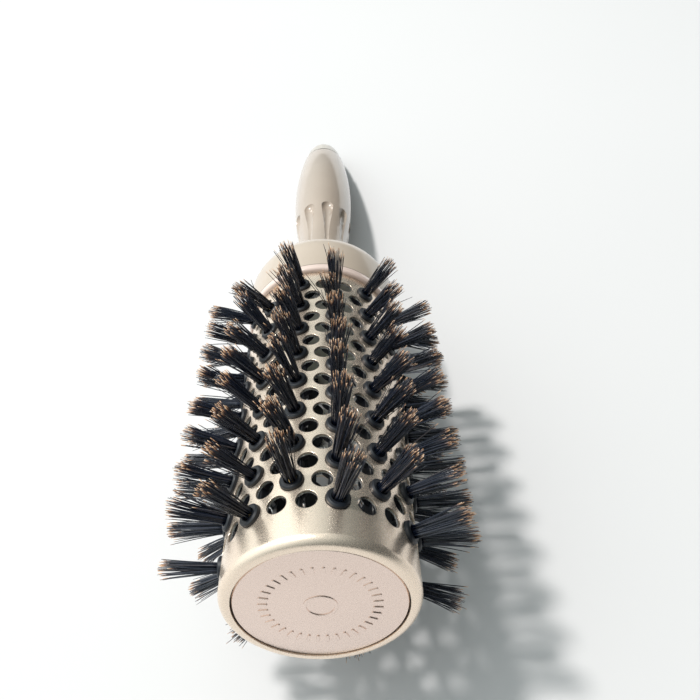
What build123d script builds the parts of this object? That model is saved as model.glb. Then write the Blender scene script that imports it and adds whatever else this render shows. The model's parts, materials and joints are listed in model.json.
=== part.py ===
from build123d import *
import math
import os

# Round barrel hair brush with a perforated metal barrel, bristle strips and a spindle handle.
# Millimetres, +Z up, lying on a table: the rear tufts and the tail touch the plane Z = 0.
# Every piece is first made on a straight brush axis along +Y. A "station" is the distance
# along that axis from the face of the end disc towards the tail, and X is the radius of
# every turned outline. Angles go round the axis from +Z towards +X.

# ---------------------------------------------------------------- driving dimensions
BARREL_R = 22.0            # outside of the coated tube
BARREL_WALL = 0.9
BARREL_END = 107.8         # rear edge of the tube, inside the collar
SHOULDER_R = 2.0           # rounding of the front shoulder
RIM_IN_R = 19.25           # mouth of the front rim
RIM_PROUD = 0.25           # the rim stands this far in front of the disc's face

PLAY = 0.05                # clearance between fitted pieces
SLIP = 0.08                # radial play of pieces slid over the tube
END_GAP = 0.1              # clearance past the end of a piece
CUT = 1.0                  # how far a cutter runs past what it cuts

COLUMNS = 42               # columns of perforations round the barrel
ROWS = 14                  # every third column carries tufts
TUFTS = 8                  # tufts along one row
PITCH = 11.0               # spacing of perforations along a column
FIRST_STATION = 10.6       # foremost ring of perforations
VENT_R = 2.35
BOSS_HOLE_R = 2.72

STRIP_W = 3.0              # bristle strip bar
STRIP_IN_R = 18.6
STRIP_OUT_R = 20.9
STRIP_START = 4.4
STRIP_END = 103.0
BOSS_R = 2.65
BOSS_TOP_R = 23.0          # bosses stand 1 mm proud of the barrel
BOSS_CHAMFER = 0.35
BOSS_FOOT_R = 3.55         # flange of a boss, inside the tube
BOSS_FOOT_START = 19.2     # its distance from the axis
SOCKET_R = 1.6             # blind hole that takes a tuft
SOCKET_BOTTOM_R = 19.4

TUFT_ROOT_R = 1.55
TUFT_TIP_RADIUS = 3.1      # a tuft fans out towards its tips
TUFT_BOTTOM_R = 20.7
TUFT_TOP_R = 36.5          # tuft tips, from the brush axis

ANCHOR_L = 2.8             # staple across the socket's bottom
ANCHOR_T = 0.5
ANCHOR_H = 1.1

DISC_R = 19.0
DISC_T = 1.2
DISC_CHAMFER = 0.25
PEG_R = 1.4
PEG_END = 6.0
PEG_CIRCLE_R = 11.0
PEGS = 3

FRONT_HUB_PLATE = (1.3, 3.4)
FRONT_HUB_END = 7.2
FRONT_HUB_RING_R = 16.2
FRONT_HUB_R = 20.65

REAR_HUB_R = 21.05         # inside the tube
REAR_HUB_START = 97.6
REAR_HUB_FACE = 104.3
REAR_HUB_END = 108.2
REAR_HUB_RING_R = 17.4

SCREWS = 3
SCREW_CIRCLE_R = 13.0
SCREW_R = 1.45
SCREW_HEAD_R = 2.8
SCREW_HEAD_START = 102.4
SCREW_END = 115.0
SCREW_HEX_R = 1.2
SCREW_HEX_DEPTH = 1.0
SCREW_HOLE_END = 115.5

RING_START = 99.7
RING_END = 102.1
RING_R = 23.5
RING_ROUND = 0.9

COLLAR_START = 102.3
COLLAR_MID_R = 24.12       # halfway to the dome, which starts at the full radius
COLLAR_R = 24.3
COLLAR_DOME_START = 113.6
COLLAR_DOME_R = 12.0
COLLAR_CAVITY_R = 20.5
COLLAR_WALL = 2.4
COLLAR_END = 131.0
NECK_R = 10.0

SHELL_START = 131.1
SHELL_END = 230.0
WAIST = (145.0, 9.1)
GRIP_START = (160.0, 9.8)
BELLY = (192.0, 11.8)
GRIP_END_R = 9.25
SHELL_BORE_R = 7.6

FLUTES = 9                 # tapered scoops round the front of the grip
FLUTE_PHASE = 16.3         # degrees from the top
FLUTE_START = (143.5, 9.65)   # station, and distance of the scoop's own axis
FLUTE_END = (169.2, 11.95)
FLUTE_SMALL_R = 0.95
FLUTE_LARGE_R = 2.7

CORE_R = 7.55
CORE_END = 228.7
FLANGE_START = 108.4
FLANGE_END = 112.4
FLANGE_R = 19.9
SCREW_POST_R = 3.2
SCREW_POST_END = 116.8
CORE_CONE_R = 11.0
CORE_CONE_END = 121.5

SLEEVE_R = 3.55
SLEEVE_BORE_R = 2.06
SLEEVE_START = 168.0
SPIGOT_BORE_START = 222.1
SPIGOT_BORE_R = 5.8

PIN_R = 2.0
PIN_TIP = 172.0
PIN_CONE_L = 6.0
PIN_END = 243.0
PIN_POINT_R = 0.5

CAP_START = 231.6
CAP_R = 8.85
CAP_WAIST = (6.75, 241.9)  # the nose's outline passes here
CAP_TIP = (3.8, 248.0)
CAP_END = 250.0
CAP_SPIGOT_START = 223.1
CAP_SPIGOT_R = 5.45
GASKET = (230.35, 231.5)
GASKET_R = 8.7

# ---------------------------------------------------------------- lying pose
STEP = 360 / ROWS
REAR_STATION = FIRST_STATION + (TUFTS - 0.75) * PITCH   # midway between two rows' last tufts
TAIL_STATION = SHELL_END


def lowest_reach(angle):
    """How far a tuft's domed tip reaches below the axis, its row this far from straight down."""
    dome_centre = TUFT_TOP_R - TUFT_TIP_RADIUS
    return dome_centre * math.cos(math.radians(angle)) + TUFT_TIP_RADIUS


# The brush lies on the last tufts of the two lowest rows and on its tail, front end raised.
TILT = math.degrees(math.atan(
    (lowest_reach(STEP / 2) - GRIP_END_R) / (TAIL_STATION - REAR_STATION)))
# Those two rows are staggered by half a pitch, so it also rolls until both tips touch.
ROLL = math.degrees(math.asin(
    PITCH / 2 * math.tan(math.radians(TILT))
    / (2 * (TUFT_TOP_R - TUFT_TIP_RADIUS) * math.sin(math.radians(STEP / 2)))))
FIRST_ROW_ANGLE = STEP / 2 + ROLL

os.makedirs("parts", exist_ok=True)
nodes = {}


# ---------------------------------------------------------------- helpers
def turned(*edges):
    """Solid of revolution about the brush axis from a closed outline (radius, station)."""
    return revolve(make_face(list(edges)), axis=Axis.Y, revolution_arc=360)


def ring(r_in, r_out, start, end):
    """Plain tube round the brush axis."""
    if r_in > 0:
        outline = Polyline((r_in, start), (r_out, start), (r_out, end), (r_in, end), close=True)
    else:
        outline = Polyline((0, start), (r_out, start), (r_out, end), (0, end), close=True)
    return turned(outline)


def spoke(radius, r_from, r_to, station, angle=0):
    """Radial cylinder between two distances from the axis."""
    body = Cylinder(radius, r_to - r_from, align=(Align.CENTER, Align.CENTER, Align.MIN))
    return Rot(0, angle, 0) * Pos(0, station, r_from) * body


def stud(radius, start, end, circle_r, angle):
    """Cylinder parallel to the axis, on a circle round it."""
    body = Cylinder(radius, end - start, align=(Align.CENTER, Align.CENTER, Align.MIN))
    return Rot(0, angle, 0) * Pos(0, start, circle_r) * Rot(-90, 0, 0) * body


def stations(stagger):
    """Stations of one column's perforations; every other column is half a pitch back."""
    return [FIRST_STATION + (k + stagger / 2) * PITCH for k in range(TUFTS)]


def row_angle(row):
    return FIRST_ROW_ANGLE + row * STEP


def notches():
    """Slots round a hub for the ends of the bristle strips."""
    size = STRIP_W + 2 * PLAY
    length = STRIP_END - STRIP_START + 2 * PLAY
    depth = REAR_HUB_R + CUT - STRIP_IN_R + PLAY
    slot = Pos(0, STRIP_START - PLAY, STRIP_IN_R - PLAY) * Box(
        size, length, depth, align=(Align.CENTER, Align.MIN, Align.MIN))
    return [Rot(0, row_angle(row), 0) * slot for row in range(ROWS)]


def grip_outline():
    """Skin of the handle from the collar to the tail, as edges in (radius, station)."""
    belly = ThreePointArc(
        (GRIP_START[1], GRIP_START[0]), (BELLY[1], BELLY[0]), (GRIP_END_R, SHELL_END))
    waist = ThreePointArc(
        (NECK_R, SHELL_START), (WAIST[1], WAIST[0]), (GRIP_START[1], GRIP_START[0]))
    return waist, belly


# ---------------------------------------------------------------- barrel
def barrel_shell():
    inner_r = BARREL_R - BARREL_WALL
    crest_r = BARREL_R - SHOULDER_R
    bend = math.sqrt(0.5)
    inner_bend_r = SHOULDER_R - BARREL_WALL
    front = -RIM_PROUD
    rim_back = front + BARREL_WALL
    bend_end = front + SHOULDER_R
    tube = turned(
        Polyline((crest_r, front), (RIM_IN_R, front), (RIM_IN_R, rim_back), (crest_r, rim_back)),
        ThreePointArc(
            (crest_r, rim_back),
            (crest_r + inner_bend_r * bend, bend_end - inner_bend_r * bend),
            (inner_r, bend_end)),
        Polyline((inner_r, bend_end), (inner_r, BARREL_END), (BARREL_R, BARREL_END),
                 (BARREL_R, bend_end)),
        ThreePointArc(
            (BARREL_R, bend_end),
            (crest_r + SHOULDER_R * bend, bend_end - SHOULDER_R * bend),
            (crest_r, front)),
    )
    cutters = []
    for column in range(COLUMNS):
        row, offset = divmod(column, 3)
        radius = BOSS_HOLE_R if offset == 0 else VENT_R
        angle = row_angle(row) + offset * 360 / COLUMNS
        cutters += [spoke(radius, inner_r - CUT, BARREL_R + CUT, station, angle)
                    for station in stations(column % 2)]
    return tube - cutters


def end_disc():
    plate = turned(Polyline(
        (0, 0), (DISC_R - DISC_CHAMFER, 0), (DISC_R, DISC_CHAMFER), (DISC_R, DISC_T), (0, DISC_T),
        close=True))
    pegs = [stud(PEG_R, DISC_T, PEG_END, PEG_CIRCLE_R, 360 / PEGS * peg) for peg in range(PEGS)]
    return plate + pegs


def front_hub():
    plate_start, plate_end = FRONT_HUB_PLATE
    body = ring(0, DISC_R - END_GAP, plate_start, plate_end)
    body += ring(FRONT_HUB_RING_R, FRONT_HUB_R, plate_end, FRONT_HUB_END)
    holes = [stud(PEG_R + PLAY, plate_start - CUT, plate_end + CUT, PEG_CIRCLE_R, 360 / PEGS * peg)
             for peg in range(PEGS)]
    return body - holes - notches()


def rear_hub():
    body = ring(REAR_HUB_RING_R, REAR_HUB_R, REAR_HUB_START, REAR_HUB_FACE)
    body += ring(0, REAR_HUB_R, REAR_HUB_FACE, REAR_HUB_END)
    holes = [stud(SCREW_R + PLAY, REAR_HUB_FACE - CUT, REAR_HUB_END + CUT, SCREW_CIRCLE_R,
                  360 / SCREWS * screw) for screw in range(SCREWS)]
    return body - holes - notches()


# ---------------------------------------------------------------- bristles
def bristle_strip(stagger):
    bar = Pos(0, STRIP_START, STRIP_IN_R) * Box(
        STRIP_W, STRIP_END - STRIP_START, STRIP_OUT_R - STRIP_IN_R,
        align=(Align.CENTER, Align.MIN, Align.MIN))
    boss = spoke(BOSS_R, BOSS_FOOT_START, BOSS_TOP_R, 0)
    boss = chamfer(boss.edges().group_by(Axis.Z)[-1], BOSS_CHAMFER)
    sockets = [spoke(SOCKET_R, SOCKET_BOTTOM_R, BOSS_TOP_R + CUT, station)
               for station in stations(stagger)]
    # the bar and the boss's foot are cut back to the tube's round inside
    inside = ring(0, BARREL_R - BARREL_WALL - PLAY, 0, BARREL_END)
    foot = spoke(BOSS_FOOT_R, BOSS_FOOT_START, BARREL_R, 0) & Pos(0, -BARREL_END / 2, 0) * inside
    strip = bar & inside
    for station in stations(stagger):
        strip += Pos(0, station, 0) * boss
        strip += Pos(0, station, 0) * foot
    return strip - sockets


def tuft():
    """One tuft standing along +Z: straight in its socket, fanning out to a domed end."""
    dome_centre = TUFT_TOP_R - TUFT_TIP_RADIUS
    outline = [
        Polyline((0, TUFT_TOP_R), (0, TUFT_BOTTOM_R), (TUFT_ROOT_R, TUFT_BOTTOM_R),
                 (TUFT_ROOT_R, BOSS_TOP_R), (TUFT_TIP_RADIUS, dome_centre)),
        ThreePointArc(
            (TUFT_TIP_RADIUS, dome_centre),
            (TUFT_TIP_RADIUS * math.sqrt(0.5), dome_centre + TUFT_TIP_RADIUS * math.sqrt(0.5)),
            (0, TUFT_TOP_R)),
    ]
    return Rot(90, 0, 0) * revolve(make_face(outline), axis=Axis.Y, revolution_arc=360)


def tuft_anchors():
    anchor = Pos(0, 0, SOCKET_BOTTOM_R + PLAY) * Box(
        ANCHOR_L, ANCHOR_T, ANCHOR_H, align=(Align.CENTER, Align.CENTER, Align.MIN))
    return [Rot(0, row_angle(row), 0) * Pos(0, station, 0) * anchor
            for row in range(ROWS) for station in stations(row % 2)]


# ---------------------------------------------------------------- collar and handle
def trim_ring():
    bore = BARREL_R + SLIP
    bend_r = RING_R - RING_ROUND
    bend_end = RING_START + RING_ROUND
    bend = RING_ROUND * math.sqrt(0.5)
    return turned(
        Polyline((bend_r, RING_START), (bore, RING_START), (bore, RING_END),
                 (RING_R, RING_END), (RING_R, bend_end)),
        ThreePointArc((RING_R, bend_end), (bend_r + bend, bend_end - bend), (bend_r, RING_START)),
    )


def collar():
    bore = BARREL_R + SLIP
    bend = math.sqrt(0.5)
    middle = (COLLAR_START + COLLAR_DOME_START) / 2
    dome_in_r = COLLAR_DOME_R - COLLAR_WALL
    dome_centre_r = COLLAR_R - COLLAR_DOME_R
    dome_end = COLLAR_DOME_START + COLLAR_DOME_R
    neck_round = dome_centre_r - NECK_R
    neck_bend = neck_round * (1 - bend)
    cavity_end = COLLAR_DOME_START + dome_in_r
    cavity_bend = COLLAR_R - COLLAR_WALL - COLLAR_CAVITY_R
    return turned(
        Line((bore, COLLAR_START), (RING_R, COLLAR_START)),
        ThreePointArc(
            (RING_R, COLLAR_START), (COLLAR_MID_R, middle), (COLLAR_R, COLLAR_DOME_START)),
        ThreePointArc(
            (COLLAR_R, COLLAR_DOME_START),
            (dome_centre_r + COLLAR_DOME_R * bend, COLLAR_DOME_START + COLLAR_DOME_R * bend),
            (dome_centre_r, dome_end)),
        ThreePointArc(
            (dome_centre_r, dome_end), (NECK_R + neck_bend, dome_end + neck_bend),
            (NECK_R, dome_end + neck_round)),
        Polyline((NECK_R, dome_end + neck_round), (NECK_R, COLLAR_END), (SHELL_BORE_R, COLLAR_END),
                 (SHELL_BORE_R, cavity_end), (dome_centre_r, cavity_end)),
        ThreePointArc(
            (dome_centre_r, cavity_end),
            (dome_centre_r + (dome_in_r - cavity_bend) * bend, COLLAR_DOME_START + dome_in_r * bend),
            (COLLAR_CAVITY_R, COLLAR_DOME_START)),
        Polyline((COLLAR_CAVITY_R, COLLAR_DOME_START), (COLLAR_CAVITY_R, REAR_HUB_END),
                 (bore, REAR_HUB_END), (bore, COLLAR_START)),
    )


def handle_shell():
    waist, belly = grip_outline()
    skin = turned(
        waist, belly,
        Polyline((GRIP_END_R, SHELL_END), (SHELL_BORE_R, SHELL_END),
                 (SHELL_BORE_R, SHELL_START), (NECK_R, SHELL_START)),
    )
    run = FLUTE_END[0] - FLUTE_START[0]
    rise = FLUTE_END[1] - FLUTE_START[1]
    length = math.hypot(run, rise)
    scoop = Cone(FLUTE_SMALL_R, FLUTE_LARGE_R, length,
                 align=(Align.CENTER, Align.CENTER, Align.MIN))
    scoop += Sphere(FLUTE_SMALL_R)
    scoop += Pos(0, 0, length) * Sphere(FLUTE_LARGE_R)
    lean = math.degrees(math.atan(rise / run))
    scoop = Pos(0, *FLUTE_START) * Rot(lean - 90, 0, 0) * scoop
    flutes = [Rot(0, FLUTE_PHASE + flute * 360 / FLUTES, 0) * scoop for flute in range(FLUTES)]
    return skin - flutes


def handle_core():
    body = ring(0, FLANGE_R, FLANGE_START, FLANGE_END)
    body += turned(Polyline((0, FLANGE_END), (CORE_CONE_R, FLANGE_END), (CORE_R, CORE_CONE_END),
                            (CORE_R, CORE_END), (0, CORE_END), close=True))
    for screw in range(SCREWS):
        angle = 360 / SCREWS * screw
        body += stud(SCREW_POST_R, FLANGE_END, SCREW_POST_END, SCREW_CIRCLE_R, angle)
        body -= stud(SCREW_R + PLAY, FLANGE_START - CUT, SCREW_HOLE_END, SCREW_CIRCLE_R, angle)
    body -= ring(0, SLEEVE_R + PLAY, SLEEVE_START - END_GAP, CORE_END + CUT)
    body -= ring(0, SPIGOT_BORE_R, SPIGOT_BORE_START, CORE_END + CUT)
    return body


def hub_screws():
    screws = []
    for screw in range(SCREWS):
        angle = 360 / SCREWS * screw
        body = stud(SCREW_HEAD_R, SCREW_HEAD_START, REAR_HUB_FACE - PLAY, SCREW_CIRCLE_R, angle)
        body += stud(SCREW_R, REAR_HUB_FACE - PLAY, SCREW_END, SCREW_CIRCLE_R, angle)
        recess = extrude(RegularPolygon(SCREW_HEX_R, 6), SCREW_HEX_DEPTH)
        body -= Rot(0, angle, 0) * Pos(0, SCREW_HEAD_START, SCREW_CIRCLE_R) * Rot(-90, 0, 0) * recess
        screws.append(body)
    return screws


# ---------------------------------------------------------------- sectioning pin
def sectioning_pin():
    return turned(Polyline(
        (0, PIN_TIP), (PIN_POINT_R, PIN_TIP), (PIN_R, PIN_TIP + PIN_CONE_L), (PIN_R, PIN_END),
        (0, PIN_END), close=True))


def pin_cap():
    bore = PIN_R + PLAY
    nose = Spline(
        (CAP_R, CAP_START), CAP_WAIST, CAP_TIP, (0, CAP_END), tangents=((-0.2, 1), (-1, 0)))
    return turned(
        Polyline((bore, CAP_SPIGOT_START), (CAP_SPIGOT_R, CAP_SPIGOT_START),
                 (CAP_SPIGOT_R, CAP_START), (CAP_R, CAP_START)),
        nose,
        Polyline((0, CAP_END), (0, PIN_END + END_GAP), (bore, PIN_END + END_GAP),
                 (bore, CAP_SPIGOT_START)),
    )


# ---------------------------------------------------------------- all the pieces
nodes["barrel_shell"] = [barrel_shell()]
nodes["end_disc"] = [end_disc()]
nodes["front_hub"] = [front_hub()]
nodes["rear_hub"] = [rear_hub()]
nodes["trim_ring"] = [trim_ring()]
nodes["collar"] = [collar()]
nodes["handle_core"] = [handle_core()]
nodes["handle_shell"] = [handle_shell()]
nodes["hub_screws"] = hub_screws()
nodes["tuft_anchors"] = tuft_anchors()
nodes["pin_sleeve"] = [ring(SLEEVE_BORE_R, SLEEVE_R, SLEEVE_START, SPIGOT_BORE_START - END_GAP)]
nodes["sectioning_pin"] = [sectioning_pin()]
nodes["pin_cap"] = [pin_cap()]
nodes["cap_gasket"] = [ring(CAP_SPIGOT_R + PLAY, GASKET_R, *GASKET)]

strips = [bristle_strip(0), bristle_strip(1)]
one_tuft = tuft()
for row in range(ROWS):
    turn = Rot(0, row_angle(row), 0)
    nodes[f"bristle_strip_{row + 1:02d}"] = [turn * strips[row % 2]]
    nodes[f"tuft_row_{row + 1:02d}"] = [turn * Pos(0, station, 0) * one_tuft
                                        for station in stations(row % 2)]

# ---------------------------------------------------------------- lay the brush down
lay = Rot(-TILT, 0, 0)
laid = {name: [lay * solid for solid in solids] for name, solids in nodes.items()}
boxes = [solid.bounding_box() for solids in laid.values() for solid in solids]
middle_x = (min(box.min.X for box in boxes) + max(box.max.X for box in boxes)) / 2
middle_y = (min(box.min.Y for box in boxes) + max(box.max.Y for box in boxes)) / 2
place = Pos(-middle_x, -middle_y, -min(box.min.Z for box in boxes))

for name, solids in laid.items():
    placed = [place * solid for solid in solids]
    whole = placed[0] if len(placed) == 1 else Compound(children=placed)
    export_step(whole, f"parts/{name}.step")

face_centre = (place * lay * Pos(0, 0, 0)).position
tail_centre = (place * lay * Pos(0, CAP_END, 0)).position
print("tilt", round(TILT, 3), "roll", round(ROLL, 3))
print("end face centre", face_centre)
print("tail centre", tail_centre)
print("axis towards the tail", (tail_centre - face_centre).normalized())
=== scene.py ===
import json
import math

import bmesh
import bpy
import numpy as np
from mathutils import Matrix, Vector


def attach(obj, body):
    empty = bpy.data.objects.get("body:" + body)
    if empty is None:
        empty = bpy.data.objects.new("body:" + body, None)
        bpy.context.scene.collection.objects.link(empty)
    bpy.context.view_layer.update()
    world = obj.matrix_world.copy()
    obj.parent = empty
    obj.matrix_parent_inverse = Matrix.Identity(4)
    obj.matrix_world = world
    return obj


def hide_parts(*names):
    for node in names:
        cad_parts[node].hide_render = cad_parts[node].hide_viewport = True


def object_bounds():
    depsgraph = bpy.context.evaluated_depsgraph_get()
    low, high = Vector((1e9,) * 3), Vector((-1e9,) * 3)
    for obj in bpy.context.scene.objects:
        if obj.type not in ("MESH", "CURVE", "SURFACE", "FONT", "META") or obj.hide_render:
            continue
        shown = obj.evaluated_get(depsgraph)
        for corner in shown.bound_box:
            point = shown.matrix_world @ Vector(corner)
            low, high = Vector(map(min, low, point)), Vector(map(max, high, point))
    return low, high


# Round barrel brush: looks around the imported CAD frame. Metres, +Z up, floor at the CAD box's
# lowest point. Brush coordinates used below: right is +X, top is square to the brush axis and
# up, aft runs along the axis towards the tail, and a station is a distance aft of the end face.

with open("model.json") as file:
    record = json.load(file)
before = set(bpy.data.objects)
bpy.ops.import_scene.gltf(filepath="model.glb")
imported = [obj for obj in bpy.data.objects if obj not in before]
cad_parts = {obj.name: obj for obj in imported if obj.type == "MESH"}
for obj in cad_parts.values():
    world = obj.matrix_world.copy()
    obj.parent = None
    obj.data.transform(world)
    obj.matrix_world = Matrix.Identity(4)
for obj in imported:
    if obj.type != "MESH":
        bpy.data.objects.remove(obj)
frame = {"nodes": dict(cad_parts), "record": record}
nodes = frame["nodes"]
cad_low, cad_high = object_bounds()
record = frame["record"]
scene = bpy.context.scene

MM = 0.001
SEED = 14

# ---------------------------------------------------------------- the frame's own geometry
end_face = next(mount for mount in record["mounts"] if mount["name"] == "end_face")
FACE = Vector(end_face["pos_m"])
AFT = -Vector(end_face["axis"]).normalized()
RIGHT = Vector((1, 0, 0))
TOP = RIGHT.cross(AFT).normalized()

# Dimensions of the barrel and its tufts, the same as in the CAD model.
ROWS = 14
TUFTS = 8                        # in each row
FIRST_STATION = 10.6 * MM
PITCH = 11.0 * MM                # odd rows are half a pitch further back
ROW_STEP = 2 * math.pi / ROWS
FIRST_ROW_ANGLE = math.radians(16.870)
BOSS_TOP_R = 23.0 * MM
SOCKET_R = 1.6 * MM
TUFT_TOP_R = 36.5 * MM
DISC_R = 19.0 * MM
COAT_EDGE_R = 21.5 * MM          # the tube's wall is bare nearer the axis than this
COAT_EDGE_STATION = 1.9 * MM     # and further back than this


def round_axis(angle):
    """Directions out from the brush axis and round it, at an angle from the top to the right."""
    out = TOP * math.cos(angle) + RIGHT * math.sin(angle)
    side = RIGHT * math.cos(angle) - TOP * math.sin(angle)
    return out, side


# ---------------------------------------------------------------- material helpers
def new_material(name):
    material = bpy.data.materials.new(name)
    material.use_nodes = True
    return material, material.node_tree.nodes, material.node_tree.links


def set_sockets(shader, **values):
    for key, value in values.items():
        shader.inputs[key.replace("_", " ").title().replace("Ior", "IOR")].default_value = value


def add_node(tree_nodes, kind, **inputs):
    node = tree_nodes.new(kind)
    for key, value in inputs.items():
        node.inputs[key].default_value = value
    return node


def ramp(tree_nodes, stops):
    """Colour ramp from (position, colour) pairs."""
    node = tree_nodes.new("ShaderNodeValToRGB")
    elements = node.color_ramp.elements
    elements[0].position, elements[0].color = stops[0][0], (*stops[0][1], 1)
    elements[1].position, elements[1].color = stops[-1][0], (*stops[-1][1], 1)
    for position, colour in stops[1:-1]:
        element = elements.new(position)
        element.color = (*colour, 1)
    return node


def offset_from_face(tree_nodes, links):
    """Place on the brush as a vector from the middle of the end face."""
    coordinates = tree_nodes.new("ShaderNodeTexCoord")
    offset = tree_nodes.new("ShaderNodeVectorMath")
    offset.operation = "SUBTRACT"
    offset.inputs[1].default_value = FACE
    links.new(coordinates.outputs["Object"], offset.inputs[0])
    return offset.outputs["Vector"]


def axis_distance(tree_nodes, links):
    """Distance from the brush axis, in metres."""
    across = tree_nodes.new("ShaderNodeVectorMath")
    across.operation = "CROSS_PRODUCT"
    across.inputs[1].default_value = AFT
    links.new(offset_from_face(tree_nodes, links), across.inputs[0])
    length = tree_nodes.new("ShaderNodeVectorMath")
    length.operation = "LENGTH"
    links.new(across.outputs["Vector"], length.inputs[0])
    return length.outputs["Value"]


def object_noise(tree_nodes, links, scale, detail=2.0, roughness=0.5, stretch=(1, 1, 1)):
    """Noise in object space; scale is in cells per metre."""
    coordinates = tree_nodes.new("ShaderNodeTexCoord")
    mapping = tree_nodes.new("ShaderNodeMapping")
    mapping.inputs["Scale"].default_value = stretch
    noise = add_node(tree_nodes, "ShaderNodeTexNoise", Scale=scale, Detail=detail, Roughness=roughness)
    links.new(coordinates.outputs["Object"], mapping.inputs["Vector"])
    links.new(mapping.outputs["Vector"], noise.inputs["Vector"])
    return noise


def bump(tree_nodes, links, height, shader, strength, distance, edge=0.0):
    """Height into the shader's normal, over softened edges when edge is a radius."""
    node = add_node(tree_nodes, "ShaderNodeBump", Strength=strength, Distance=distance)
    links.new(height, node.inputs["Height"])
    if edge:
        bevel = tree_nodes.new("ShaderNodeBevel")
        bevel.samples = 6
        bevel.inputs["Radius"].default_value = edge
        links.new(bevel.outputs["Normal"], node.inputs["Normal"])
    links.new(node.outputs["Normal"], shader.inputs["Normal"])


def spread_value(tree_nodes, links, factor, low, high, socket):
    """A factor from 0 to 1 spread between two values, into a socket."""
    node = add_node(tree_nodes, "ShaderNodeMapRange")
    node.inputs["To Min"].default_value = low
    node.inputs["To Max"].default_value = high
    links.new(factor, node.inputs["Value"])
    links.new(node.outputs["Result"], socket)


# ---------------------------------------------------------------- materials
def metallic_paint(name, light, dark, metallic, roughness, flake, sparkle, edge=0.0):
    """Satin metallic coat: fine flakes in tone and normal over a slow drift in tone."""
    material, tree, links = new_material(name)
    shader = tree["Principled BSDF"]
    set_sockets(shader, metallic=metallic, coat_weight=0.25, coat_roughness=0.18)
    flakes = tree.new("ShaderNodeTexVoronoi")
    flakes.inputs["Scale"].default_value = 1 / flake
    coordinates = tree.new("ShaderNodeTexCoord")
    links.new(coordinates.outputs["Object"], flakes.inputs["Vector"])
    grey = tree.new("ShaderNodeSeparateColor")
    links.new(flakes.outputs["Color"], grey.inputs["Color"])
    drift = object_noise(tree, links, 60, 3.0)
    mix = tree.new("ShaderNodeMix")
    mix.data_type = "FLOAT"
    mix.inputs["Factor"].default_value = 0.35
    links.new(grey.outputs["Red"], mix.inputs["A"])
    links.new(drift.outputs["Fac"], mix.inputs["B"])
    tone = ramp(tree, [(0.1, dark), (0.9, light)])
    links.new(mix.outputs["Result"], tone.inputs["Fac"])
    links.new(tone.outputs["Color"], shader.inputs["Base Color"])
    spread_value(tree, links, grey.outputs["Green"], roughness - 0.07, roughness + 0.09,
                 shader.inputs["Roughness"])
    bump(tree, links, grey.outputs["Blue"], shader, sparkle, 0.02 * MM, edge)
    return material


def bare_inside(material, colour):
    """Leaves the coat off the inside of the tube."""
    tree, links = material.node_tree.nodes, material.node_tree.links
    base = tree["Principled BSDF"].inputs["Base Color"]
    coat = base.links[0].from_socket
    station = tree.new("ShaderNodeVectorMath")
    station.operation = "DOT_PRODUCT"
    station.inputs[1].default_value = AFT
    links.new(offset_from_face(tree, links), station.inputs[0])
    behind = add_node(tree, "ShaderNodeMath")
    behind.operation = "GREATER_THAN"
    behind.inputs[1].default_value = COAT_EDGE_STATION
    links.new(station.outputs["Value"], behind.inputs[0])
    within = add_node(tree, "ShaderNodeMath")
    within.operation = "LESS_THAN"
    within.inputs[1].default_value = COAT_EDGE_R
    links.new(axis_distance(tree, links), within.inputs[0])
    inside = add_node(tree, "ShaderNodeMath")
    inside.operation = "MULTIPLY"
    links.new(behind.outputs["Value"], inside.inputs[0])
    links.new(within.outputs["Value"], inside.inputs[1])
    mix = tree.new("ShaderNodeMix")
    mix.data_type = "RGBA"
    mix.inputs["B"].default_value = (*colour, 1)
    links.new(inside.outputs["Value"], mix.inputs["Factor"])
    links.new(coat, mix.inputs["A"])
    links.new(mix.outputs["Result"], base)


def crown(material, tilt, radius):
    """Slight crown in the normals round the brush axis, tilt radians at a radius."""
    tree, links = material.node_tree.nodes, material.node_tree.links
    normal = tree["Principled BSDF"].inputs["Normal"]
    square = add_node(tree, "ShaderNodeMath")
    square.operation = "POWER"
    square.inputs[1].default_value = 2.0
    links.new(axis_distance(tree, links), square.inputs[0])
    dome = add_node(tree, "ShaderNodeBump", Strength=1.0, Distance=tilt / (2 * radius))
    dome.invert = True
    links.new(square.outputs["Value"], dome.inputs["Height"])
    links.new(dome.outputs["Normal"], normal.links[0].from_node.inputs["Normal"])


def moulded_plastic(name, light, dark, roughness, coat, grain, edge=0.0):
    """Moulded plastic: slow drift in tone, fine orange-peel in the gloss."""
    material, tree, links = new_material(name)
    shader = tree["Principled BSDF"]
    set_sockets(shader, coat_weight=coat, coat_roughness=0.07)
    drift = object_noise(tree, links, 45, 4.0)
    tone = ramp(tree, [(0.3, dark), (0.7, light)])
    links.new(drift.outputs["Fac"], tone.inputs["Fac"])
    links.new(tone.outputs["Color"], shader.inputs["Base Color"])
    smear = object_noise(tree, links, 320, 5.0, 0.6)
    spread_value(tree, links, smear.outputs["Fac"], roughness - 0.06, roughness + 0.08,
                 shader.inputs["Roughness"])
    peel = object_noise(tree, links, 1 / grain, 3.0)
    bump(tree, links, peel.outputs["Fac"], shader, 0.12, 0.03 * MM, edge)
    return material


SCRATCH_STRETCH = (1, 0.05, 1)   # noise drawn out along Y, the way the brush lies


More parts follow.
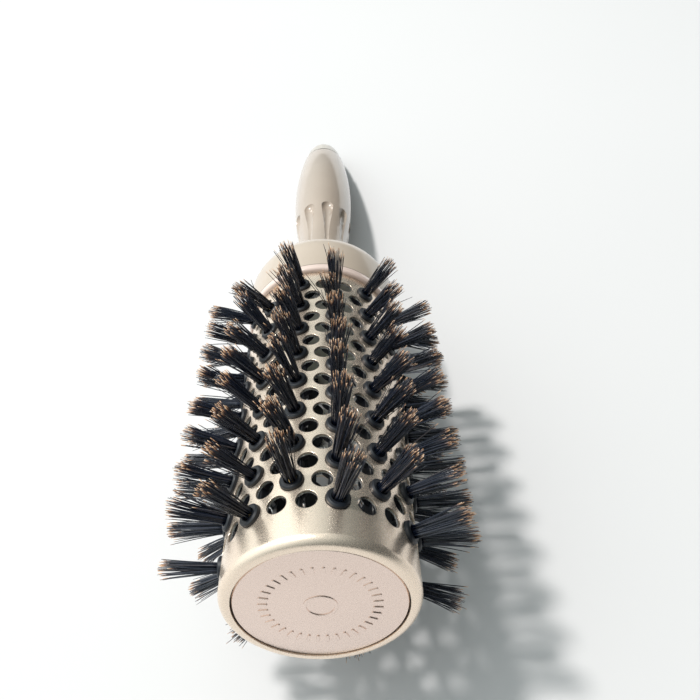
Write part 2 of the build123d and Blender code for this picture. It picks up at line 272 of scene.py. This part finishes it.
def brushed_metal(name, light, dark, roughness):
    """Bare metal with fine scratches drawn out along the handle."""
    material, tree, links = new_material(name)
    shader = tree["Principled BSDF"]
    set_sockets(shader, metallic=1.0, anisotropic=0.35)
    scratch = object_noise(tree, links, 900, 4.0, 0.65, SCRATCH_STRETCH)
    tone = ramp(tree, [(0.25, dark), (0.75, light)])
    links.new(scratch.outputs["Fac"], tone.inputs["Fac"])
    links.new(tone.outputs["Color"], shader.inputs["Base Color"])
    spread_value(tree, links, scratch.outputs["Fac"], roughness - 0.06, roughness + 0.1,
                 shader.inputs["Roughness"])
    bump(tree, links, scratch.outputs["Fac"], shader, 0.1, 0.02 * MM)
    return material


def bristle_material():
    """Blue-black fibre with copper ends; the tip and shade attributes run per strand."""
    material, tree, links = new_material("bristle_fibre")
    shader = tree["Principled BSDF"]
    set_sockets(shader, specular_ior_level=0.9)
    tip = tree.new("ShaderNodeAttribute")
    tip.attribute_name = "tip"
    shade = tree.new("ShaderNodeAttribute")
    shade.attribute_name = "shade"
    body = ramp(tree, [
        (0.0, (0.004, 0.007, 0.016)),
        (0.6, (0.007, 0.012, 0.028)),
        (0.85, (0.014, 0.022, 0.044)),
        (1.0, (0.036, 0.026, 0.026)),
    ])
    links.new(shade.outputs["Fac"], body.inputs["Fac"])
    ends = ramp(tree, [
        (0.0, (0.020, 0.012, 0.010)),
        (0.3, (0.16, 0.07, 0.035)),
        (0.6, (0.62, 0.36, 0.20)),
        (1.0, (0.98, 0.78, 0.58)),
    ])
    links.new(tip.outputs["Fac"], ends.inputs["Fac"])
    share = add_node(tree, "ShaderNodeMapRange")
    share.inputs["From Max"].default_value = 0.3
    links.new(tip.outputs["Fac"], share.inputs["Value"])
    mix = tree.new("ShaderNodeMix")
    mix.data_type = "RGBA"
    links.new(share.outputs["Result"], mix.inputs["Factor"])
    links.new(body.outputs["Color"], mix.inputs["A"])
    links.new(ends.outputs["Color"], mix.inputs["B"])
    links.new(mix.outputs["Result"], shader.inputs["Base Color"])
    spread_value(tree, links, shade.outputs["Fac"], 0.16, 0.38, shader.inputs["Roughness"])
    return material


def floor_material():
    """Matt card with a very slow drift in tone."""
    material, tree, links = new_material("floor_card")
    shader = tree["Principled BSDF"]
    drift = object_noise(tree, links, 3, 2.0)
    tone = ramp(tree, [(0.2, (0.595, 0.590, 0.597)), (0.8, (0.622, 0.618, 0.624))])
    links.new(drift.outputs["Fac"], tone.inputs["Fac"])
    links.new(tone.outputs["Color"], shader.inputs["Base Color"])
    shader.inputs["Roughness"].default_value = 0.85
    return material


def paint(node, material):
    """Gives a carried-over CAD node one finished material."""
    slots = nodes[node].data.materials
    slots.clear()
    slots.append(material)


# ---------------------------------------------------------------- camera
# Position and aim in brush coordinates: right, top, and forward of the foremost hole ring.
CAMERA_OFFSET = (18.50 * MM, 135.13 * MM, 99.14 * MM)
CAMERA_FORWARD = (-0.0585, -0.5943, -0.8021)
CAMERA_DOWN = (-0.1019, -0.7958, 0.5970)
CAMERA_SENSOR = 36.0
CAMERA_LENS = 36.926
CAMERA_SHIFT = (0.01614, -0.01457)
CAMERA_CLIP = (0.005, 20.0)


def brush_vector(right, top, front):
    """Vector from its three brush coordinates, the last one towards the front."""
    return RIGHT * right + TOP * top - AFT * front


def add_camera():
    camera = bpy.data.cameras.new("camera")
    camera.sensor_width = CAMERA_SENSOR
    camera.lens = CAMERA_LENS
    camera.shift_x, camera.shift_y = CAMERA_SHIFT
    camera.clip_start, camera.clip_end = CAMERA_CLIP
    eye = bpy.data.objects.new("camera", camera)
    scene.collection.objects.link(eye)
    forward = brush_vector(*CAMERA_FORWARD).normalized()
    up = -brush_vector(*CAMERA_DOWN)
    side = forward.cross(up).normalized()
    up = side.cross(forward)
    turn = Matrix((side, up, -forward)).transposed().to_4x4()
    spot = FACE + AFT * FIRST_STATION + brush_vector(*CAMERA_OFFSET)
    eye.matrix_world = Matrix.Translation(spot) @ turn
    scene.camera = eye


add_camera()

# ---------------------------------------------------------------- bristles
STRANDS = 64
STRAND_R = (0.085 * MM, 0.145 * MM)
STRAND_SIDES = 4
STEPS = (0.0, 0.18, 0.38, 0.58, 0.76, 0.9, 1.0)   # along a strand, from its root to its tip
TAPER_START = 0.7            # where along a strand it begins to thin
STRAND_TAPER = 0.6
PALE_START = 0.88            # where along a strand its copper end begins
PALE_SHARE = 0.66
PALE_RANGE = (0.4, 1.0)
ROOT_DEPTH = 1.2 * MM        # roots start this far inside the boss
ROOT_FILL = 0.86             # of the socket's radius
OPENING_POWER = 1.3          # a tuft opens slowly at first, then faster
TUFT_FAN = 2.45 * MM
TUFT_LEAN = 0.85 * MM
STRAND_LEAN = 0.36 * MM
STRAND_BOW = 0.15 * MM
STRAY_SHARE = 0.06
STRAY_REACH = 1.7            # a stray strand stands out this many times further
TOP_RISE = 0.6 * MM          # the middle strands stand above the CAD tuft
TOP_CROWN = 1.3 * MM         # and the outer ones end this much lower
LENGTH_SPREAD = 0.9 * MM
FLOOR_GAP = 0.15 * MM
REAR_LEAN = {0: -2.2 * MM, 13: -1.2 * MM, 1: -0.4 * MM}   # rows that lean sideways, most at the rear
OFF_STRAND = (0.31, 0.52, 0.79)   # a direction that no strand runs along


def tuft_strands(random, angle, station, row_lean):
    """One tuft's strands: paths (strands, steps, 3), radii, tip paleness and shade of each."""
    out, side = (np.array(direction) for direction in round_axis(angle))
    aft = np.array(AFT)
    root = np.array(FACE + AFT * station)
    reach = np.sqrt(random.random(STRANDS))
    around = random.random(STRANDS) * 2 * math.pi
    ring = np.stack([np.cos(around), np.sin(around)], 1) * reach[:, None]
    lean = random.normal(0, TUFT_LEAN, 2) + (row_lean, 0)
    fan = TUFT_FAN * ring + lean + random.normal(0, STRAND_LEAN, (STRANDS, 2))
    stray = random.random(STRANDS) < STRAY_SHARE
    fan[stray] *= STRAY_REACH
    height = TUFT_TOP_R + TOP_RISE - TOP_CROWN * reach ** 2
    height -= np.abs(random.normal(0, LENGTH_SPREAD, STRANDS))
    bow = random.normal(0, STRAND_BOW, (STRANDS, 2))
    paths = np.zeros((STRANDS, len(STEPS), 3))
    start = BOSS_TOP_R - ROOT_DEPTH
    for index, step in enumerate(STEPS):
        opened = step ** OPENING_POWER
        spread = ring * SOCKET_R * ROOT_FILL * (1 - opened) + fan * opened
        spread = spread + bow * math.sin(math.pi * step)
        rise = start + (height - start) * step
        paths[:, index] = root + out * rise[:, None] + side * spread[:, :1] + aft * spread[:, 1:]
    paths[:, :, 2] = np.maximum(paths[:, :, 2], cad_low.z + FLOOR_GAP)
    radii = random.uniform(*STRAND_R, STRANDS)
    pale = random.uniform(*PALE_RANGE, STRANDS) * (random.random(STRANDS) < PALE_SHARE)
    return paths, radii, pale, random.random(STRANDS)


def strand_mesh(name, paths, radii, pale, shades):
    """Thin tapered tubes along many paths, as one mesh with tip and shade attributes."""
    count, steps = paths.shape[:2]
    ahead = np.diff(paths, axis=1)
    ahead = np.concatenate([ahead, ahead[:, -1:]], 1)
    ahead /= np.linalg.norm(ahead, axis=2, keepdims=True)
    across = np.cross(ahead, np.array(OFF_STRAND))
    across /= np.linalg.norm(across, axis=2, keepdims=True)
    third = np.cross(ahead, across)
    taper = np.interp(STEPS, (0, TAPER_START, 1), (1, 1, STRAND_TAPER))
    turn = np.arange(STRAND_SIDES) * 2 * math.pi / STRAND_SIDES
    ring = (across[:, :, None] * np.cos(turn)[None, None, :, None]
            + third[:, :, None] * np.sin(turn)[None, None, :, None])
    verts = paths[:, :, None] + ring * (radii[:, None] * taper)[:, :, None, None]
    first = np.arange(count)[:, None, None] * steps * STRAND_SIDES
    level = np.arange(steps - 1)[None, :, None] * STRAND_SIDES
    edge = np.arange(STRAND_SIDES)[None, None, :]
    after = (edge + 1) % STRAND_SIDES
    corners = (level + edge, level + after, level + STRAND_SIDES + after, level + STRAND_SIDES + edge)
    sides = np.stack([first + corner for corner in corners], 3).reshape(-1, 4)
    base = np.arange(count)[:, None] * steps * STRAND_SIDES
    roots = base + np.arange(STRAND_SIDES)[::-1]
    tips = base + STRAND_SIDES * (steps - 1) + np.arange(STRAND_SIDES)
    mesh = bpy.data.meshes.new(name)
    mesh.from_pydata(verts.reshape(-1, 3).tolist(), [], np.concatenate([sides, roots, tips]).tolist())
    along = np.interp(STEPS, (0, PALE_START, 1), (0, 0, 1))
    tip = np.repeat((pale[:, None] * along).ravel(), STRAND_SIDES).astype(np.float32)
    shade = np.repeat(shades, steps * STRAND_SIDES).astype(np.float32)
    mesh.attributes.new("tip", "FLOAT", "POINT").data.foreach_set("value", tip)
    mesh.attributes.new("shade", "FLOAT", "POINT").data.foreach_set("value", shade)
    mesh.polygons.foreach_set("use_smooth", [True] * len(mesh.polygons))
    mesh.update()
    return mesh


def add_bristles(material):
    random = np.random.default_rng(SEED)
    for row in range(ROWS):
        angle = FIRST_ROW_ANGLE + row * ROW_STEP
        tufts = []
        for tuft in range(TUFTS):
            station = FIRST_STATION + (tuft + (row % 2) / 2) * PITCH
            row_lean = REAR_LEAN.get(row, 0.0) * tuft / (TUFTS - 1)
            tufts.append(tuft_strands(random, angle, station, row_lean))
        name = f"bristles_{row + 1:02d}"
        mesh = strand_mesh(name, *(np.concatenate(values) for values in zip(*tufts)))
        mesh.materials.append(material)
        piece = bpy.data.objects.new(name, mesh)
        scene.collection.objects.link(piece)
        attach(piece, "brush")
        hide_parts(f"tuft_row_{row + 1:02d}")


# ---------------------------------------------------------------- disc ornament
TICKS = 36
TICK_CIRCLE_R = 12.4 * MM
TICK_LENGTH = 2.3 * MM
TICK_WIDTH = 0.7 * MM
TICK_SIDES = 20
RELIEF = 0.2 * MM            # height of the ornament above the disc
RELIEF_FOOT = -0.05 * MM     # its walls start just inside the disc
TICK_SHOULDER = 0.75         # of the relief, where a tick's bevel starts
TICK_TOP_SIZE = 0.82         # of the outline, on top of a tick
HOOP_R = 3.4 * MM
HOOP_STEPS = 72
HOOP_HALF = 0.35 * MM        # half its width at the foot
HOOP_TOP_HALF = 0.22 * MM
HOOP_SHOULDER = 0.14 * MM


def raised_outline(mesh, ring_points, centre):
    """Low pillow over a closed outline on the disc: walls, a bevel and a top."""
    levels = ((1.0, RELIEF_FOOT), (1.0, RELIEF * TICK_SHOULDER), (TICK_TOP_SIZE, RELIEF))
    loops = []
    for size, height in levels:
        loops.append([mesh.verts.new(centre + (point - centre) * size - AFT * height)
                      for point in ring_points])
    count = len(ring_points)
    for low, high in zip(loops, loops[1:]):
        for index in range(count):
            after = (index + 1) % count
            mesh.faces.new((low[index], low[after], high[after], high[index]))
    mesh.faces.new(loops[-1])
    mesh.faces.new(loops[0][::-1])


def add_ticks(build):
    """Raised strokes that point at the brush axis, evenly round a circle."""
    straight = (TICK_LENGTH - TICK_WIDTH) / 2
    for tick in range(TICKS):
        out, side = round_axis(tick * 2 * math.pi / TICKS)
        centre = FACE + out * TICK_CIRCLE_R
        points = []
        for step in range(TICK_SIDES):
            turn = 2 * math.pi * (step + 0.5) / TICK_SIDES
            end = math.copysign(straight, math.sin(turn))
            points.append(centre + side * TICK_WIDTH / 2 * math.cos(turn)
                          + out * (TICK_WIDTH / 2 * math.sin(turn) + end))
        raised_outline(build, points, centre)


def add_hoop(build):
    """Raised hoop round the middle of the disc."""
    section = ((-HOOP_HALF, RELIEF_FOOT), (-HOOP_HALF, HOOP_SHOULDER), (-HOOP_TOP_HALF, RELIEF),
               (HOOP_TOP_HALF, RELIEF), (HOOP_HALF, HOOP_SHOULDER), (HOOP_HALF, RELIEF_FOOT))
    loops = []
    for step in range(HOOP_STEPS):
        out, _ = round_axis(2 * math.pi * step / HOOP_STEPS)
        loops.append([build.verts.new(FACE + out * (HOOP_R + across) - AFT * height)
                      for across, height in section])
    for step in range(HOOP_STEPS):
        here, after = loops[step], loops[(step + 1) % HOOP_STEPS]
        for index in range(len(section)):
            following = (index + 1) % len(section)
            build.faces.new((here[index], here[following], after[following], after[index]))


def add_disc_ornament(material):
    """Plain ring of raised ticks and a small hoop, both moulded on the disc."""
    build = bmesh.new()
    add_ticks(build)
    add_hoop(build)
    bmesh.ops.recalc_face_normals(build, faces=build.faces)
    mesh = bpy.data.meshes.new("disc_ornament")
    build.to_mesh(mesh)
    build.free()
    mesh.materials.append(material)
    piece = bpy.data.objects.new("disc_ornament", mesh)
    scene.collection.objects.link(piece)
    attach(piece, "brush")


# ---------------------------------------------------------------- finishes
champagne = metallic_paint(
    "champagne_coat", (0.91, 0.765, 0.63), (0.84, 0.70, 0.57),
    metallic=0.88, roughness=0.29, flake=0.12 * MM, sparkle=0.14, edge=0.2 * MM)
bare_inside(champagne, (0.90, 0.90, 0.88))
satin_disc = metallic_paint(
    "satin_disc", (0.82, 0.665, 0.59), (0.77, 0.62, 0.545),
    metallic=0.9, roughness=0.23, flake=0.12 * MM, sparkle=0.09)
crown(satin_disc, math.radians(9), DISC_R)
beige_gloss = moulded_plastic(
    "beige_gloss", (0.47, 0.39, 0.315), (0.43, 0.355, 0.285),
    roughness=0.3, coat=0.8, grain=0.6 * MM, edge=0.2 * MM)
grip_gloss = moulded_plastic(
    "grip_gloss", (0.385, 0.31, 0.25), (0.35, 0.28, 0.225),
    roughness=0.3, coat=1.0, grain=0.6 * MM, edge=0.2 * MM)
ring_gloss = moulded_plastic(
    "ring_gloss", (0.68, 0.54, 0.48), (0.63, 0.50, 0.44),
    roughness=0.14, coat=1.0, grain=0.6 * MM, edge=0.1 * MM)
cap_gloss = moulded_plastic(
    "cap_gloss", (0.44, 0.40, 0.34), (0.40, 0.36, 0.30),
    roughness=0.28, coat=0.6, grain=0.6 * MM, edge=0.1 * MM)
strip_black = moulded_plastic(
    "strip_black", (0.006, 0.009, 0.015), (0.004, 0.005, 0.008),
    roughness=0.4, coat=0.0, grain=0.4 * MM, edge=0.12 * MM)
inner_beige = moulded_plastic(
    "inner_beige", (0.90, 0.89, 0.80), (0.84, 0.83, 0.74),
    roughness=0.5, coat=0.0, grain=0.4 * MM, edge=0.1 * MM)
rubber = moulded_plastic(
    "gasket_rubber", (0.016, 0.016, 0.017), (0.010, 0.010, 0.011),
    roughness=0.75, coat=0.0, grain=0.3 * MM)
steel = brushed_metal("brushed_steel", (0.72, 0.72, 0.73), (0.5, 0.5, 0.51), roughness=0.26)
brass = brushed_metal("sleeve_brass", (0.8, 0.6, 0.3), (0.6, 0.43, 0.2), roughness=0.3)

FINISHES = {
    "barrel_shell": champagne, "end_disc": satin_disc, "front_hub": inner_beige,
    "rear_hub": inner_beige, "trim_ring": ring_gloss, "collar": beige_gloss,
    "handle_core": inner_beige, "handle_shell": grip_gloss, "hub_screws": steel,
    "tuft_anchors": brass, "pin_sleeve": brass, "sectioning_pin": steel, "pin_cap": cap_gloss,
    "cap_gasket": rubber,
}
for node_name, finish in FINISHES.items():
    paint(node_name, finish)
for row_number in range(1, ROWS + 1):
    paint(f"bristle_strip_{row_number:02d}", strip_black)

add_bristles(bristle_material())
add_disc_ornament(satin_disc)

# ---------------------------------------------------------------- floor and light
FLOOR_SIZE = 6.0
FLOOR_CELLS = 8
KEY_TRAVEL = (0.42, -0.19, -1.0)   # to the right, slightly forward and down
KEY_DISTANCE = 1.8
KEY_POWER = 32.5
KEY_SIZE = 0.19
KEY_COLOUR = (1.0, 0.975, 0.945)
SKY_BRIGHT_SIDE = (-0.80, 0.16, 0.58)
SKY_TONES = [
    (0.0, (0.02, 0.025, 0.027)),
    (0.3, (0.04, 0.048, 0.05)),
    (0.5, (0.17, 0.198, 0.200)),
    (0.68, (0.58, 0.645, 0.640)),
    (1.0, (1.42, 1.52, 1.51)),
]


def add_floor():
    grid = bmesh.new()
    bmesh.ops.create_grid(grid, x_segments=FLOOR_CELLS, y_segments=FLOOR_CELLS, size=FLOOR_SIZE / 2)
    mesh = bpy.data.meshes.new("floor")
    grid.to_mesh(mesh)
    grid.free()
    mesh.materials.append(floor_material())
    floor = bpy.data.objects.new("floor", mesh)
    floor.location.z = cad_low.z
    scene.collection.objects.link(floor)


def add_key():
    """Round soft light that shines along a direction at the middle of the brush."""
    lamp = bpy.data.lights.new("key", "AREA")
    lamp.shape = "DISK"
    lamp.size = KEY_SIZE
    lamp.energy = KEY_POWER
    lamp.color = KEY_COLOUR
    light = bpy.data.objects.new("key", lamp)
    scene.collection.objects.link(light)
    direction = Vector(KEY_TRAVEL).normalized()
    light.location = (cad_low + cad_high) / 2 - direction * KEY_DISTANCE
    light.rotation_mode = "QUATERNION"
    light.rotation_quaternion = direction.to_track_quat("-Z", "Y")


def add_sky():
    """Soft surround, brightest towards one side of the studio."""
    world = bpy.data.worlds.new("sky")
    world.use_nodes = True
    tree, links = world.node_tree.nodes, world.node_tree.links
    coordinates = tree.new("ShaderNodeTexCoord")
    towards = tree.new("ShaderNodeVectorMath")
    towards.operation = "DOT_PRODUCT"
    towards.inputs[1].default_value = Vector(SKY_BRIGHT_SIDE).normalized()
    links.new(coordinates.outputs["Generated"], towards.inputs[0])
    spread = add_node(tree, "ShaderNodeMapRange")
    spread.inputs["From Min"].default_value = -1.0
    links.new(towards.outputs["Value"], spread.inputs["Value"])
    tone = ramp(tree, SKY_TONES)
    links.new(spread.outputs["Result"], tone.inputs["Fac"])
    links.new(tone.outputs["Color"], tree["Background"].inputs["Color"])
    scene.world = world


add_floor()
add_key()
add_sky()
scene.view_settings.view_transform = "Standard"
